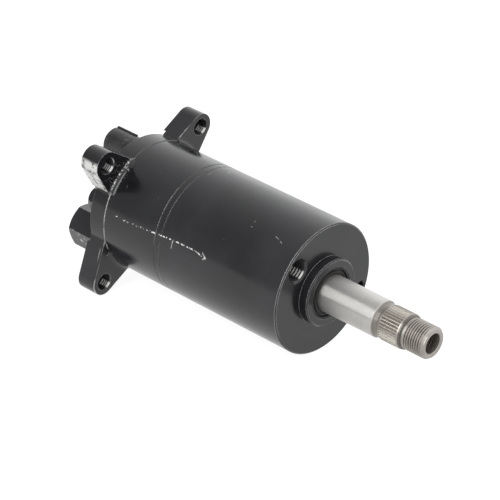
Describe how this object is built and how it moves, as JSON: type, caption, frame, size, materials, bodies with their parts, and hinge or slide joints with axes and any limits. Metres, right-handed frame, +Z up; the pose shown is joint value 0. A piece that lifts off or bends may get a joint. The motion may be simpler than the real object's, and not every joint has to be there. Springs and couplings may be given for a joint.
{
  "type": "hydraulic motor",
  "caption": "Cylindrical hydraulic gerotor motor with an eared rear flange, rear port fittings and a serrated, threaded output shaft.",
  "frame": {"origin": "on the shaft axis, in the plane of the round front face, at the base of the pilot boss", "axes": "+X along the shaft towards its threaded end, +Z up between two ears, +Y completes the right-handed set"},
  "size_m": [0.2513, 0.0928, 0.0928],
  "materials": {
    "black_paint": "glossy black enamel over cast iron",
    "plate_paint": "glossy black enamel over a ground plate",
    "fitting_paint": "black enamel over steel fittings",
    "screw_steel": "black oxide screws under thin paint",
    "cap_plastic": "ridged cap with overspray",
    "ground_steel": "ground and oiled shaft",
    "rotor_steel": "ground sintered steel",
    "machined_steel": "turned",
    "hard_steel": "hardened and ground",
    "bearing_steel": "ground",
    "ball_steel": "polished",
    "spring_steel": "blued spring steel",
    "seal_steel": "pressed steel case, painted over",
    "ring_iron": "machined",
    "bronze": "bored bronze",
    "cage_brass": "machined",
    "nitrile": "smooth nitrile rubber"
  },
  "bodies": {
    "housing": {"front_housing": "black_paint", "wear_plate": "plate_paint", "rear_housing": "black_paint", "clamp_screws": "screw_steel", "dowel_pins": "hard_steel", "front_o_ring": "nitrile", "rear_o_ring": "nitrile", "eccentric_ring": "ring_iron", "ring_pin": "hard_steel", "rear_bush": "bronze", "front_bearing_outer_race": "bearing_steel", "rear_bearing_outer_race": "bearing_steel", "spacer_sleeve": "machined_steel", "preload_washer": "spring_steel", "bearing_retaining_ring": "spring_steel", "seal_case": "seal_steel", "seal_lip": "nitrile", "garter_spring": "spring_steel", "port_adapter_left": "fitting_paint", "port_adapter_right": "fitting_paint", "port_washers": "nitrile", "drain_nipple": "fitting_paint", "drain_cap": "cap_plastic", "check_plug": "fitting_paint", "check_seat": "hard_steel"},
    "shaft": {"output_shaft": "ground_steel", "rotor_key": "hard_steel", "inner_rotor": "rotor_steel", "front_bearing_inner_race": "bearing_steel", "rear_bearing_inner_race": "bearing_steel", "shaft_retaining_ring": "spring_steel"},
    "outer_rotor": {"outer_rotor": "rotor_steel"},
    "front_cage": {"front_bearing_cage": "cage_brass", "front_bearing_balls": "ball_steel"},
    "rear_cage": {"rear_bearing_cage": "cage_brass", "rear_bearing_balls": "ball_steel"},
    "check_ball": {"check_ball": "ball_steel"}
  },
  "joints": [
    {"name": "shaft_spin", "type": "hinge", "parent": "housing", "child": "shaft", "pos_m": [0, 0, 0], "axis": [1, 0, 0], "continuous": true},
    {"name": "outer_rotor_spin", "type": "hinge", "parent": "housing", "child": "outer_rotor", "pos_m": [-0.103, 0, 0.00225], "axis": [1, 0, 0], "continuous": true},
    {"name": "front_cage_spin", "type": "hinge", "parent": "housing", "child": "front_cage", "pos_m": [-0.0323, 0, 0], "axis": [1, 0, 0], "continuous": true},
    {"name": "rear_cage_spin", "type": "hinge", "parent": "housing", "child": "rear_cage", "pos_m": [-0.078, 0, 0], "axis": [1, 0, 0], "continuous": true},
    {"name": "check_lift", "type": "slide", "parent": "housing", "child": "check_ball", "axis": [-1, 0, 0], "range_m": [0, 0.0015]}
  ],
  "couplings": [
    {"joint": "outer_rotor_spin", "follows": "shaft_spin", "ratio": 0.85714},
    {"joint": "front_cage_spin", "follows": "shaft_spin", "ratio": 0.39688},
    {"joint": "rear_cage_spin", "follows": "shaft_spin", "ratio": 0.39688}
  ]
}
